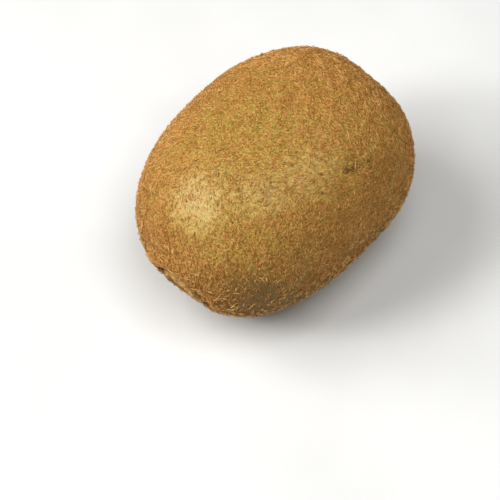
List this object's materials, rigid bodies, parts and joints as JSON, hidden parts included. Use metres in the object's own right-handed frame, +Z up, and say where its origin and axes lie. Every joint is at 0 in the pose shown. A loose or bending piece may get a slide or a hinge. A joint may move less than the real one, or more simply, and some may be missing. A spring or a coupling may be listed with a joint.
{
  "type": "kiwi fruit",
  "caption": "Whole kiwi fruit as picked: a brown oval body with a corky stem scar and dried sepals at one end and a small beak with dried styles at the other, lying on a small flat spot.",
  "frame": {"origin": "on the supporting surface, below the middle of the fruit's box", "axes": "+X along the fruit's length from the stem scar to the beak, +Y across it, +Z up through its thinnest way"},
  "size_m": [0.0684, 0.051, 0.0471],
  "materials": {
    "kiwi_skin": "dull olive brown skin under short tan fuzz"
  },
  "bodies": {
    "root": {"kiwi_fruit": "kiwi_skin"}
  },
  "joints": []
}
